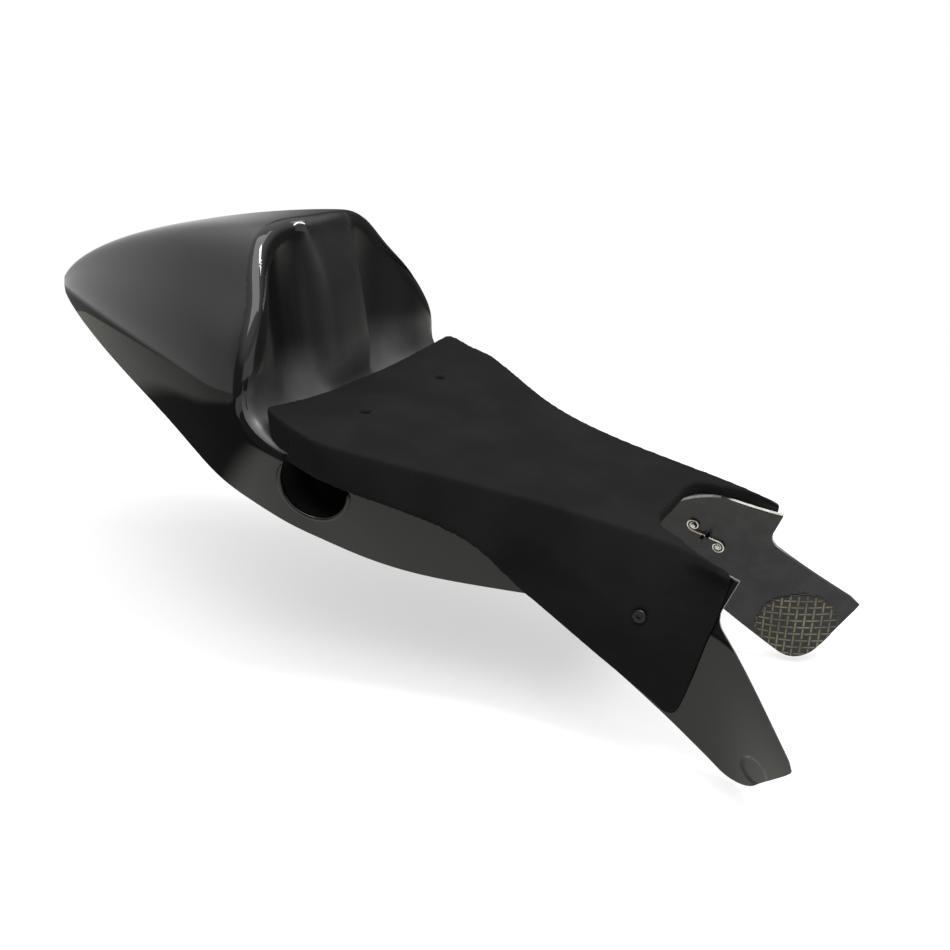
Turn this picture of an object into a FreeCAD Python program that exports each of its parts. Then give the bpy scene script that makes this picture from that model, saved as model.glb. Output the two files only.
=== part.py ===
"""Race seat unit: moulded tail and seat shell, foam pad, quarter-turn studs, springs, rivets and woven patches.

Millimetres. +X points forward, +Y to the rider's left, +Z up.
The origin is midway between the two seat bolts, on top of the seat pan.
"""
import FreeCAD, Part
import math
import os

V = FreeCAD.Vector

# Laminate and foam
WALL = 3.0
FOAM = 12.0
FOAM_SEAT_GAP = 0.2

# Tail hump, measured back from the backrest
FACE_X = -77.0
TAIL_LENGTH = 405.0
HUMP_HEIGHT = 177.0
HUMP_HALF_WIDTH = 160.0
TAIL_TIP_Z = 75.0
FACE_LOWER_Z = -52.0
TAIL_LOWER_Z = 65.0

# Guide polygon of the hump's half section, as shares of its half-width and of its height
HUMP_GUIDE = [(0.0, 1.0), (0.325, 1.0), (0.5375, 0.952), (0.706, 0.742), (0.95, 0.515), (1.0, 0.323), (0.975, 0.0)]

# Sides in front of the backrest: station, then guide points above the pan, at the waist and at the lower edge
SIDE_GUIDES = [
    (-32.0, (155.0, 62.0), (159.0, 16.0), (150.0, -62.0)),
    (0.0, (148.0, 45.0), (150.0, -12.0), (136.0, -86.0)),
    (42.0, (126.0, 30.0), (141.0, -36.0), (127.0, -98.0)),
    (98.0, (90.0, 15.0), (117.0, -56.0), (114.0, -112.0)),
    (147.0, (72.0, 5.0), (101.0, -66.0), (104.0, -122.0)),
    (201.0, (60.0, -5.0), (92.0, -76.0), (98.0, -140.0)),
    (256.0, (54.0, -12.0), (87.0, -86.0), (94.0, -155.0)),
    (300.0, (48.0, -20.0), (84.0, -90.0), (92.0, -165.0)),
    (343.0, (46.0, -28.0), (86.0, -94.0), (93.0, -172.0)),
    (386.0, (60.0, -45.0), (120.0, -130.0), (107.0, -200.0)),
    (432.0, (80.0, -60.0), (165.0, -150.0), (140.0, -215.0)),
]
SKIRT_Z = -270.0
TAIL_SHARES = [0.985, 0.96, 0.92, 0.86, 0.78, 0.68, 0.56, 0.42, 0.28, 0.14, 0.04]

# Guide polygon of the backrest and the seat pan on the centre line, from the top to the front
SEAT_GUIDE = [
    (-97.0, 280.0), (-92.0, 230.0), (-87.0, 180.0), (-82.0, 130.0), (-76.0, 80.0), (-70.0, 40.0), (-66.0, 12.0),
    (-50.0, 0.3), (-20.0, 0.3), (30.0, -2.7), (100.0, -25.0), (200.0, -41.0), (320.0, -57.0), (480.0, -84.0),
]
DISH_RISE = 26.0
DISH_REACH = 75.0
POCKET_DEPTH = 12.0
RIB_HALF_WIDTH = 30.0
POCKET_START = 44.0
POCKET_STOP = 76.0
POCKET_EDGE = 112.0
POCKET_LOW_Z = 30.0
POCKET_HIGH_Z = 165.0

# Rolled edge round the hump's front and along the pan
ROLL_RADIUS = 5.0

# Trim lines of the moulding, seen from the side
BELLY_GUIDE = [(-109.0, -46.0), (-60.0, -61.0), (0.0, -89.0), (60.0, -107.0), (120.0, -112.0)]
BELLY_END = (186.0, -110.0)
LEG_REAR = (381.0, -230.0)
LEG_FRONT = (424.0, -168.0)
LEG_CROOK = (343.0, -96.0)
WING_CORNER = (355.0, -64.0)
LEG_REAR_RADIUS = 24.0
LEG_FRONT_RADIUS = 5.0
CROOK_RADIUS = 14.0
WING_CORNER_RADIUS = 4.0

# Tank notch, seen from above
NOTCH_X = 277.0
NOTCH_HALF_WIDTH = 60.0
NOTCH_ROUND = 36.0

# Holes
SEAT_BOLT_SPACING = 128.0
SEAT_BOLT_HOLE = 6.6
PAD_BOLT_HOLE = 9.0

# D-shaped scoop moulded into each side, under the pad's edge
SCOOP_REAR = (-21.0, -9.0)
SCOOP_LOW = (-1.0, -66.0)
SCOOP_FRONT = (33.0, -29.0)
SCOOP_BACK_Y = 104.0

# Foam outline: the rear seen from above, the lower and front edges seen from the side
PAD_REAR_X = -62.0
PAD_CORNER_X = -30.0
PAD_HALF_WIDTH = 153.0
PAD_LOWER = [(-20.0, -12.0), (13.0, -20.0), (42.0, -33.0), (98.0, -50.0), (147.0, -71.0)]
PAD_FOOT_X = 314.0
PAD_LIFT = 12.0
PAD_BROW = (343.0, -100.0)
PAD_NOSE_X = 349.0
PAD_FOOT_RADIUS = 8.0

# Quarter-turn stud, its spring and the spring's rivets, on each wing
STUD_X = 285.0
STUD_Z = -105.0
STUD_SHANK = 8.0
STUD_PLAY = 0.05
STUD_HEAD = 11.0
STUD_HEAD_THICK = 2.4
STUD_DRIVE = 4.5
STUD_END = 6.5
STUD_FOAM_PLAY = 0.5
WIRE = 1.6
WIRE_GAP = 0.2
EYE_RADIUS = 5.8
EYE_STEP = 1.4
RIVET_SPACING = 30.0
RIVET_SHANK = 3.2
RIVET_HEAD = 5.0
RIVET_HEAD_THICK = 1.0
RIVET_PLAY = 0.05
SPRING_SLOPE = (25.0, -18.0)

# Woven patch and fixing dimple on each leg
PATCH_X = 373.0
PATCH_Z = -190.0
PATCH_DIAMETER = 74.0
PATCH_THICK = 0.8
PATCH_GAP = 0.05
DIMPLE_X = 389.0
DIMPLE_Z = -207.0
DIMPLE_DIAMETER = 28.0
DIMPLE_DEPTH = 1.2

FAR = 600.0


def offset_points(points, distance):
    """Move a row of (a, b) points sideways, to the left of its direction."""
    moved = []
    last = len(points) - 1
    for i, (a, b) in enumerate(points):
        before = points[max(i - 1, 0)]
        after = points[min(i + 1, last)]
        da, db = after[0] - before[0], after[1] - before[1]
        length = math.hypot(da, db)
        moved.append((a - db / length * distance, b + da / length * distance))
    return moved


def power_surface(net):
    """Smooth surface steered by a net of guide points, edge to edge."""
    rows, columns = len(net), len(net[0])
    surface = Part.BSplineSurface()
    row_counts = [4] + [1] * (rows - 4) + [4]
    column_counts = [4] + [1] * (columns - 4) + [4]
    row_knots = [float(i) for i in range(rows - 2)]
    column_knots = [float(i) for i in range(columns - 2)]
    surface.buildFromPolesMultsKnots(net, row_counts, column_counts, row_knots, column_knots, False, False, 3, 3)
    return surface


def tail_lower_z(s):
    return FACE_LOWER_Z + (TAIL_LOWER_Z - FACE_LOWER_Z) * s ** 0.72


def tail_guide(s):
    """Half section guide of the hump at share s of the way from the backrest to the tail tip."""
    width = HUMP_HALF_WIDTH * (1.0 - s ** 1.3) ** 0.9
    crest = TAIL_TIP_Z + (HUMP_HEIGHT - TAIL_TIP_Z) * (1.0 - s ** 1.8) ** 0.72
    low = tail_lower_z(s)
    return [(a * width, low + b * (crest - low)) for a, b in HUMP_GUIDE] + [(0.8 * width, SKIRT_Z)]


def side_guide(upper, waist, lower):
    """Half section guide in front of the backrest; what is above the pan is cut away later."""
    arch = [(0.0, HUMP_HEIGHT)]
    for a, b in HUMP_GUIDE[1:4]:
        share = (1.0 - b) / (1.0 - HUMP_GUIDE[4][1])
        arch.append((a / HUMP_GUIDE[4][0] * upper[0], HUMP_HEIGHT - share * (HUMP_HEIGHT - upper[1])))
    lean = (lower[0] - waist[0]) / (waist[1] - lower[1])
    reach = min(max(lean, -0.2), 0.1) * (lower[1] - SKIRT_Z)
    return arch + [upper, waist, lower, (lower[0] + reach, SKIRT_Z)]


def hull_net(offset):
    """Guide net of the outer surface of the moulding before the seat is cut, grown by offset."""
    shares = TAIL_SHARES if offset >= 0.0 else TAIL_SHARES[1:]
    rows = [(FACE_X - (TAIL_LENGTH + offset) * s, tail_guide(s)) for s in shares]
    rows += [(x, side_guide(upper, waist, lower)) for x, upper, waist, lower in SIDE_GUIDES]
    net = []
    for x, half in rows:
        ring = offset_points([(-y, z) for y, z in half[:0:-1]] + half, offset)
        ring[0] = (ring[0][0], SKIRT_Z + min(offset, 0.0))
        ring[-1] = (ring[-1][0], SKIRT_Z + min(offset, 0.0))
        net.append([V(x, y, z) for y, z in ring])
    if offset < 0.0:
        net[-1] = [V(p.x - offset, p.y, p.z) for p in net[-1]]
    return net


def hull(offset):
    """Solid inside the outer surface."""
    net = hull_net(offset)
    surface = power_surface(net)
    u0, u1, v0, v1 = surface.bounds()
    tail, front = surface.uIso(u0).toShape(), surface.uIso(u1).toShape()
    right, left = surface.vIso(v0).toShape(), surface.vIso(v1).toShape()
    tail_line = Part.LineSegment(net[0][-1], net[0][0]).toShape()
    front_line = Part.LineSegment(net[-1][-1], net[-1][0]).toShape()
    faces = [surface.toShape()]
    for edges in ([tail, tail_line], [front, front_line], [right, left, tail_line, front_line]):
        faces.append(Part.Face(Part.Wire(Part.__sortEdges__(edges))))
    skin = Part.Shell(faces)
    skin.sewShape()
    solid = Part.Solid(skin)
    if solid.Volume < 0.0:
        solid.reverse()
    return solid


def smooth_step(value, start, end):
    t = min(max((value - start) / (end - start), 0.0), 1.0)
    return t * t * (3.0 - 2.0 * t)


def seat_guide(y):
    """Backrest and pan guide at half-width y: dished at the sides, with a pocket each side of the middle rib."""
    across = abs(y)
    pocket = smooth_step(across, RIB_HALF_WIDTH, POCKET_START) - smooth_step(across, POCKET_STOP, POCKET_EDGE)
    row = []
    for x, z in SEAT_GUIDE:
        dish = DISH_RISE * (across / 150.0) ** 2 * (1.0 - smooth_step(x, PAD_REAR_X, PAD_REAR_X + DISH_REACH))
        deep = POCKET_DEPTH * pocket * smooth_step(z, 0.0, POCKET_LOW_Z)
        deep *= 1.0 - smooth_step(z, 140.0, POCKET_HIGH_Z)
        row.append((x - deep, z + dish))
    return row


def seat_face(offset):
    """Backrest and pan as one surface, moved off the moulding by offset."""
    spots = [0.0, 15.0, RIB_HALF_WIDTH, 37.0, POCKET_START, 60.0, POCKET_STOP, 94.0, POCKET_EDGE, 135.0, 165.0, 200.0]
    net = []
    for y in [-v for v in spots[:0:-1]] + spots:
        net.append([V(x, y, z) for x, z in offset_points(seat_guide(y), offset)])
    return power_surface(net).toShape()


def rider_space(offset):
    """Solid above the pan and in front of the backrest."""
    return seat_face(offset).extrude(V(FAR, 0, FAR))


def body(offset):
    return hull(offset).cut(rider_space(offset))


def side_prism(edges, half_width=FAR):
    """Solid of a closed side-view outline, right across the part."""
    face = Part.Face(Part.Wire(Part.__sortEdges__(edges)))
    face.translate(V(0, -half_width, 0))
    return face.extrude(V(0, 2 * half_width, 0))


def side_point(point):
    return V(point[0], 0, point[1])


def rounded_path(points, radii):
    """Edges of a polyline in the side view with rounded corners; radius 0 leaves a corner sharp."""
    edges = []
    start = side_point(points[0])
    for i in range(1, len(points) - 1):
        corner = side_point(points[i])
        if radii[i] == 0.0:
            edges.append(Part.LineSegment(start, corner).toShape())
            start = corner
            continue
        back = (side_point(points[i - 1]) - corner).normalize()
        ahead = (side_point(points[i + 1]) - corner).normalize()
        half = back.getAngle(ahead) / 2.0
        reach = radii[i] / math.tan(half)
        first = corner + back * reach
        last = corner + ahead * reach
        middle_way = (back + ahead).normalize()
        middle = corner + middle_way * (radii[i] / math.sin(half) - radii[i])
        edges.append(Part.LineSegment(start, first).toShape())
        edges.append(Part.Arc(first, middle, last).toShape())
        start = last
    edges.append(Part.LineSegment(start, side_point(points[-1])).toShape())
    return edges


def guided_line(points):
    """Smooth curve steered by guide points, from the first to the last."""
    curve = Part.BSplineCurve()
    counts = [4] + [1] * (len(points) - 4) + [4]
    curve.buildFromPolesMultsKnots(points, counts, [float(i) for i in range(len(points) - 2)], False, 3)
    return curve.toShape()


def shell_trim():
    """What is kept of the moulding in the side view."""
    tail = [(FACE_X - TAIL_LENGTH * s, tail_lower_z(s)) for s in (1.0, 0.85, 0.65, 0.45, 0.25)]
    edges = [guided_line([side_point(p) for p in tail + BELLY_GUIDE + [BELLY_END]])]
    corners = [BELLY_END, LEG_REAR, LEG_FRONT, LEG_CROOK, WING_CORNER, (WING_CORNER[0], FAR), (-FAR, FAR),
               (-FAR, TAIL_LOWER_Z), tail[0]]
    radii = [0.0, LEG_REAR_RADIUS, LEG_FRONT_RADIUS, CROOK_RADIUS, WING_CORNER_RADIUS, 0.0, 0.0, 0.0, 0.0]
    return side_prism(edges + rounded_path(corners, radii))


def wing_lower_z(x):
    share = (x - BELLY_END[0]) / (LEG_REAR[0] - BELLY_END[0])
    return BELLY_END[1] + share * (LEG_REAR[1] - BELLY_END[1])


def pad_trim():
    """What is kept of the foam: the side outline and the rear outline together."""
    heel = (BELLY_END[0], BELLY_END[1] + PAD_LIFT)
    foot = (PAD_FOOT_X, wing_lower_z(PAD_FOOT_X) + PAD_LIFT)
    lower = [side_point(p) for p in PAD_LOWER + [heel]]
    corners = [heel, foot, PAD_BROW, (PAD_NOSE_X, WING_CORNER[1]), (PAD_NOSE_X, FAR), (-FAR, FAR),
               (-FAR, PAD_LOWER[0][1]), PAD_LOWER[0]]
    radii = [0.0, PAD_FOOT_RADIUS, CROOK_RADIUS, 0.0, 0.0, 0.0, 0.0, 0.0]
    sides = side_prism([guided_line(lower)] + rounded_path(corners, radii))
    rear = [V(PAD_CORNER_X + 90.0, PAD_HALF_WIDTH + 8.0, 0), V(PAD_CORNER_X + 50.0, PAD_HALF_WIDTH + 3.0, 0),
            V(PAD_CORNER_X + 12.0, PAD_HALF_WIDTH, 0), V(PAD_CORNER_X - 16.0, PAD_HALF_WIDTH, 0),
            V(PAD_CORNER_X - 20.0, 0.78 * PAD_HALF_WIDTH, 0), V(PAD_REAR_X, 0.5 * PAD_HALF_WIDTH, 0)]
    outline = rear + [V(PAD_REAR_X, 0, 0)] + [V(p.x, -p.y, 0) for p in rear[::-1]]
    last = V(FAR, outline[0].y, 0)
    first = V(FAR, outline[-1].y, 0)
    edges = [guided_line(outline), Part.LineSegment(outline[-1], first).toShape(),
             Part.LineSegment(first, last).toShape(), Part.LineSegment(last, outline[0]).toShape()]
    above = Part.Face(Part.Wire(edges))
    above.translate(V(0, 0, -FAR))
    slope = side_prism(rounded_path([(PAD_REAR_X - 2.0, 9.0), (PAD_REAR_X - 2.0, -FAR), (FAR, -FAR), (FAR, FAR),
                                     (PAD_REAR_X + 140.0, FAR), (PAD_REAR_X + 45.0, 60.0), (PAD_REAR_X - 2.0, 9.0)],
                                    [0.0] * 7))
    return sides.common(above.extrude(V(0, 0, 2.0 * FAR))).common(slope)


def notch():
    """Tank cut-out, open to the front, right through pad and pan."""
    depth = NOTCH_ROUND
    root = V(NOTCH_X, 0, 0)
    points = [V(FAR, NOTCH_HALF_WIDTH, 0), V(NOTCH_X + depth, NOTCH_HALF_WIDTH, 0), root,
              V(NOTCH_X + depth, -NOTCH_HALF_WIDTH, 0), V(FAR, -NOTCH_HALF_WIDTH, 0)]
    bow = Part.BSplineCurve()
    bow.interpolate(Points=points[1:4], InitialTangent=V(-1, 0, 0), FinalTangent=V(1, 0, 0))
    edges = [Part.LineSegment(points[0], points[1]).toShape(), bow.toShape(),
             Part.LineSegment(points[3], points[4]).toShape(), Part.LineSegment(points[4], points[0]).toShape()]
    face = Part.Face(Part.Wire(edges))
    face.translate(V(0, 0, WING_CORNER[1] - 25.0))
    return face.extrude(V(0, 0, FAR))


def scoop(grow):
    """D-shaped prism across the part, without its middle, for the outside or the inside of the scoops."""
    rear = V(SCOOP_REAR[0] - grow, 0, SCOOP_REAR[1] + grow)
    low = V(SCOOP_LOW[0], 0, SCOOP_LOW[1] - grow)
    front = V(SCOOP_FRONT[0] + grow, 0, SCOOP_FRONT[1] + grow)
    across = side_prism([Part.Arc(rear, low, front).toShape(), Part.LineSegment(front, rear).toShape()])
    half = SCOOP_BACK_Y - grow
    return across.cut(Part.makeBox(FAR, 2.0 * half, FAR, V(-FAR / 2.0, -half, -FAR / 2.0)))


def rolled_body():
    """Outside of the moulding with the edge round the backrest and the pan rolled over."""
    solid = body(0.0).Solids[0]
    edges = []
    for edge in solid.Edges:
        box = edge.BoundBox
        if box.YLength > HUMP_HALF_WIDTH and box.ZMax > HUMP_HEIGHT / 2.0 and box.XMin > FACE_X - TAIL_LENGTH / 4.0:
            edges.append(edge)
    return solid.makeFillet(ROLL_RADIUS, edges)


def bolt_holes(diameter):
    holes = []
    for side in (-1, 1):
        base = V(0, side * SEAT_BOLT_SPACING / 2.0, -60.0)
        holes.append(Part.makeCylinder(diameter / 2.0, 120.0, base, V(0, 0, 1)))
    return Part.makeCompound(holes)


class WingFrame:
    """Local frame on the right wing: z out of the outer surface, x along the spring."""

    def __init__(self):
        surface = power_surface(hull_net(0.0))
        line = Part.LineSegment(V(STUD_X, -FAR, STUD_Z), V(STUD_X, 0, STUD_Z)).toShape()
        self.origin = surface.toShape().section(line).Vertexes[0].Point
        u, v = surface.parameter(self.origin)
        self.out = surface.normal(u, v)
        if self.out.y > 0.0:
            self.out = self.out * -1.0
        slope = V(SPRING_SLOPE[0], 0, SPRING_SLOPE[1])
        self.along = (slope - self.out * slope.dot(self.out)).normalize()
        self.up = self.out.cross(self.along)

    def place(self, shape):
        moved = shape.copy()
        a, b, c, o = self.along, self.up, self.out, self.origin
        matrix = FreeCAD.Matrix(a.x, b.x, c.x, o.x, a.y, b.y, c.y, o.y, a.z, b.z, c.z, o.z, 0, 0, 0, 1)
        moved.transformShape(matrix)
        return moved


FOAM_TOP = FOAM + FOAM_SEAT_GAP
WIRE_Z = -WALL - WIRE_GAP - WIRE / 2.0
SPRING_TURN = math.asin(2.0 * EYE_RADIUS / RIVET_SPACING)


def stud():
    """Quarter-turn stud: domed head with a hexagon drive, shank, and an end whose two ears pass the wire."""
    radius = STUD_SHANK / 2.0
    head_z = FOAM_TOP + FOAM_SEAT_GAP
    head = Part.makeCylinder(STUD_HEAD / 2.0, STUD_HEAD_THICK, V(0, 0, head_z))
    head = head.makeFillet(0.45 * STUD_HEAD_THICK, [e for e in head.Edges if e.BoundBox.ZMin > head_z + 1.0])
    corners = [V(STUD_DRIVE / 2.0 * math.cos(math.radians(a)), STUD_DRIVE / 2.0 * math.sin(math.radians(a)),
                 head_z + 0.3 * STUD_HEAD_THICK) for a in range(0, 361, 60)]
    drive = Part.Face(Part.makePolygon(corners)).extrude(V(0, 0, STUD_HEAD_THICK))
    shank = Part.makeCylinder(radius, head_z + WALL, V(0, 0, -WALL))
    end = Part.makeCylinder(radius, STUD_END, V(0, 0, -WALL - STUD_END))
    clear = WIRE / 2.0 + WIRE_GAP
    ear = Part.makeBox(radius, radius, STUD_END, V(clear, clear, -WALL - STUD_END))
    ears = ear.fuse(ear.mirror(V(0, 0, 0), V(1, 0, 0)).mirror(V(0, 0, 0), V(0, 1, 0)))
    ears.rotate(V(0, 0, 0), V(0, 0, 1), math.degrees(SPRING_TURN))
    return head.cut(drive).fuse(shank).fuse(end.common(ears)).removeSplitter()


def spring():
    """Wire bent to an S: a coil round each rivet, and a straight middle that crosses the stud's end."""
    rivet = V(RIVET_SPACING / 2.0, 0, 0)
    side = V(-math.sin(SPRING_TURN), math.cos(SPRING_TURN), 0)
    ahead = V(math.cos(SPRING_TURN), math.sin(SPRING_TURN), 0)
    touch = rivet + side * EYE_RADIUS
    edges = [Part.LineSegment(touch * -1.0, touch).toShape()]
    start, centre, radius, sign = touch, rivet, EYE_RADIUS, 1.0
    for turn in range(3):
        end = centre - side * (radius * sign)
        arc = Part.Arc(start, centre + ahead * (radius * sign), end).toShape()
        other = arc.copy()
        other.rotate(V(0, 0, 0), V(0, 0, 1), 180.0)
        edges += [arc, other]
        centre = centre - side * (EYE_STEP * sign)
        start, radius, sign = end, radius - EYE_STEP, -sign
    path = Part.Wire(Part.__sortEdges__(edges))
    first = path.OrderedEdges[0]
    ring = Part.Wire(Part.makeCircle(WIRE / 2.0, path.OrderedVertexes[0].Point, first.tangentAt(first.FirstParameter)))
    wire = path.makePipeShell([ring], True, False)
    wire.translate(V(0, 0, WIRE_Z))
    return wire


def rivets():
    pieces = []
    head_z = WIRE_Z - WIRE / 2.0 - WIRE_GAP
    for side in (-1, 1):
        shank = Part.makeCylinder(RIVET_SHANK / 2.0, -head_z, V(side * RIVET_SPACING / 2.0, 0, head_z))
        head = Part.makeCylinder(RIVET_HEAD / 2.0, RIVET_HEAD_THICK,
                                 V(side * RIVET_SPACING / 2.0, 0, head_z - RIVET_HEAD_THICK))
        low = [e for e in head.Edges if e.BoundBox.ZMax < head_z - 0.9 * RIVET_HEAD_THICK]
        pieces.append(head.makeFillet(0.6 * RIVET_HEAD_THICK, low).fuse(shank).removeSplitter())
    return Part.makeCompound(pieces)


def wing_holes(stud_hole, rivet_hole):
    """Holes through a wing for the stud and the rivets, in the wing frame."""
    holes = [Part.makeCylinder(stud_hole / 2.0, 60.0, V(0, 0, -30.0))]
    if rivet_hole:
        for side in (-1, 1):
            holes.append(Part.makeCylinder(rivet_hole / 2.0, 24.0, V(side * RIVET_SPACING / 2.0, 0, -12.0)))
    return Part.makeCompound(holes)


def to_left(shape):
    return shape.mirror(V(0, 0, 0), V(0, 1, 0))


def both_sides(shape):
    return Part.makeCompound([shape, to_left(shape)])


def dimple():
    """Ball that leaves a shallow round fixing dimple in the right leg's outer face."""
    surface = power_surface(hull_net(0.0))
    line = Part.LineSegment(V(DIMPLE_X, -FAR, DIMPLE_Z), V(DIMPLE_X, 0, DIMPLE_Z)).toShape()
    spot = surface.toShape().section(line).Vertexes[0].Point
    out = surface.normal(*surface.parameter(spot))
    if out.y > 0.0:
        out = out * -1.0
    radius = (DIMPLE_DIAMETER ** 2 / 4.0 + DIMPLE_DEPTH ** 2) / (2.0 * DIMPLE_DEPTH)
    return Part.makeSphere(radius, spot + out * (radius - DIMPLE_DEPTH))


def seat_shell(wing):
    outer = rolled_body()
    wall = outer.cut(body(-WALL)).common(shell_trim()).cut(notch())
    wall = wall.fuse(outer.common(scoop(WALL))).cut(scoop(0.0)).cut(bolt_holes(SEAT_BOLT_HOLE))
    holes = wing.place(wing_holes(STUD_SHANK + 2.0 * STUD_PLAY, RIVET_SHANK + 2.0 * RIVET_PLAY))
    return wall.cut(both_sides(holes)).cut(both_sides(dimple()))


def seat_pad(wing):
    layer = body(FOAM_TOP).cut(body(FOAM_SEAT_GAP))
    shape = layer.common(pad_trim()).cut(notch()).cut(bolt_holes(PAD_BOLT_HOLE))
    return shape.cut(both_sides(wing.place(wing_holes(STUD_SHANK + 2.0 * STUD_FOAM_PLAY, 0.0))))


def patch():
    """Woven patch bonded to the inner face of the right leg, trimmed with the leg."""
    layer = hull(-WALL - PATCH_GAP).cut(hull(-WALL - PATCH_GAP - PATCH_THICK))
    disc = Part.makeCylinder(PATCH_DIAMETER / 2.0, 180.0, V(PATCH_X, -200.0, PATCH_Z), V(0, 1, 0))
    return layer.common(disc).common(shell_trim())


def single(shape):
    """The one solid of a result, without what the operations wrap round it."""
    solids = sorted(shape.Solids, key=lambda solid: solid.Volume)
    return solids[-1]


def export(shape, name):
    shape.exportStep("parts/" + name + ".step")
    print(name, shape.isValid(), len(shape.Solids), round(shape.Volume / 1000.0, 2), "cm3")


os.makedirs("parts", exist_ok=True)
wing = WingFrame()
print("stud axis point", wing.origin, "direction", wing.out)
export(single(seat_shell(wing)), "seat_shell")
export(single(seat_pad(wing)), "seat_pad")
right = {"stud": wing.place(stud()), "spring": wing.place(spring()), "rivets": wing.place(rivets()), "patch": patch()}
for name, shape in right.items():
    export(shape, name + "_right")
    export(to_left(shape), name + "_left")
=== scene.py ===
"""Dresses the race seat unit: smooth gloss shell, foam pad, woven patches, fittings, studio."""
import math

import bpy
import bmesh
import numpy as np
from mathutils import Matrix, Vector


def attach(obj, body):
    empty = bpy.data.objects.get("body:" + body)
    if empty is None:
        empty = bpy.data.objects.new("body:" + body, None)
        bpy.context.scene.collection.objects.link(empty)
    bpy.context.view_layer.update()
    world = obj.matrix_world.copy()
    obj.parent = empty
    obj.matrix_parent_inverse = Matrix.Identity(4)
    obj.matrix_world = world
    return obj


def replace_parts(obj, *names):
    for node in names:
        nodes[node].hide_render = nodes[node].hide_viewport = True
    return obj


# Sizes are in millimetres; a pair that steers a smooth change holds its start and its end
MM = 0.001
FAR = 900.0
DIAGONAL = math.sqrt(0.5)
TINY = 1e-6

# Laminate
WALL = 3.0
SKIN = 2.6

# Tail hump, measured back from the backrest
FACE_X = -77.0
TAIL_LENGTH = 405.0
HUMP_HEIGHT = 177.0
HUMP_HALF_WIDTH = 160.0
TAIL_TIP_Z = 75.0
FACE_LOWER_Z = -52.0
TAIL_LOWER_Z = 65.0
TAIL_LOWER_POWER = 0.72
TAIL_WIDTH_POWERS = (1.3, 0.9)
TAIL_CREST_POWERS = (1.8, 0.72)
TAIL_SKIRT_SHARE = 0.8
TAIL_SHARES = [0.985, 0.96, 0.92, 0.86, 0.78, 0.68, 0.56, 0.42, 0.28, 0.14, 0.04]
HUMP_GUIDE = [
    (0.0, 1.0), (0.325, 1.0), (0.5375, 0.952), (0.706, 0.742), (0.95, 0.515), (1.0, 0.323), (0.975, 0.0),
]
SHOULDER = 4

# Sides, wings and legs: distance forward, then half-width and height of the upper, waist and lower guides
SIDE_GUIDES = [
    (-32.0, (155.0, 62.0), (159.0, 16.0), (150.0, -62.0)),
    (0.0, (148.0, 45.0), (150.0, -12.0), (136.0, -86.0)),
    (42.0, (126.0, 30.0), (141.0, -36.0), (127.0, -98.0)),
    (98.0, (90.0, 15.0), (117.0, -56.0), (114.0, -112.0)),
    (147.0, (72.0, 5.0), (101.0, -66.0), (104.0, -122.0)),
    (201.0, (60.0, -5.0), (92.0, -76.0), (98.0, -140.0)),
    (256.0, (54.0, -12.0), (87.0, -86.0), (94.0, -155.0)),
    (300.0, (48.0, -20.0), (84.0, -90.0), (92.0, -165.0)),
    (343.0, (46.0, -28.0), (86.0, -94.0), (93.0, -172.0)),
    (386.0, (60.0, -45.0), (120.0, -130.0), (107.0, -200.0)),
    (432.0, (80.0, -60.0), (165.0, -150.0), (140.0, -215.0)),
]
SKIRT_Z = -270.0
SKIRT_LEAN = (-0.2, 0.1)

# Backrest and pan: side-view guides from the top of the backrest to the front of the pan
SEAT_GUIDE = [
    (-97.0, 280.0), (-92.0, 230.0), (-87.0, 180.0), (-82.0, 130.0), (-76.0, 80.0), (-70.0, 40.0),
    (-66.0, 12.0), (-50.0, 0.3), (-20.0, 0.3), (30.0, -2.7), (100.0, -25.0), (200.0, -41.0),
    (320.0, -57.0), (480.0, -84.0),
]
SEAT_SPOTS = [0.0, 15.0, 30.0, 37.0, 44.0, 60.0, 76.0, 94.0, 112.0, 135.0, 165.0, 200.0]
PAD_REAR_X = -62.0
DISH_RISE = 16.0
DISH_HALF_WIDTH = 150.0
DISH_ALONG = (PAD_REAR_X, PAD_REAR_X + 60.0)
EDGE_FALL = 10.0
FALL_ACROSS = (105.0, 150.0)
FALL_BEGIN = (-64.0, -25.0)
FALL_END = (20.0, 80.0)
POCKET_DEPTH = 12.0
POCKET_START = 44.0
POCKET_INNER = (30.0, POCKET_START)
POCKET_OUTER = (80.0, 112.0)
POCKET_LOW = (0.0, 30.0)
POCKET_TOP = (110.0, 180.0)
RIB_RISE = 19.0
RIB_SIDE = (24.0, POCKET_START)
RIB_LOW = (10.0, 45.0)
RIB_TOP = (140.0, 185.0)
SIDE_WRAP = 13.0
WRAP_ACROSS = (64.0, 112.0)
WRAP_LOW = (0.0, 40.0)
WRAP_TOP = (190.0, 240.0)
PAN_START = 5.5

# Trim lines in the side view, forward and up
OUTLINE_SHARES = (1.0, 0.85, 0.65, 0.45, 0.25)
BELLY_GUIDE = [(-109.0, -46.0), (-60.0, -61.0), (0.0, -89.0), (60.0, -107.0), (120.0, -112.0)]
BELLY_END = (186.0, -110.0)
LEG_REAR = (381.0, -230.0)
LEG_FRONT = (424.0, -168.0)
LEG_CROOK = (343.0, -96.0)
WING_CORNER = (355.0, -64.0)
LEG_REAR_RADIUS = 24.0
LEG_FRONT_RADIUS = 5.0
CROOK_RADIUS = 14.0
WING_CORNER_RADIUS = 4.0
CORNER_STEPS = 12
BELLY_POINTS = 160

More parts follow.
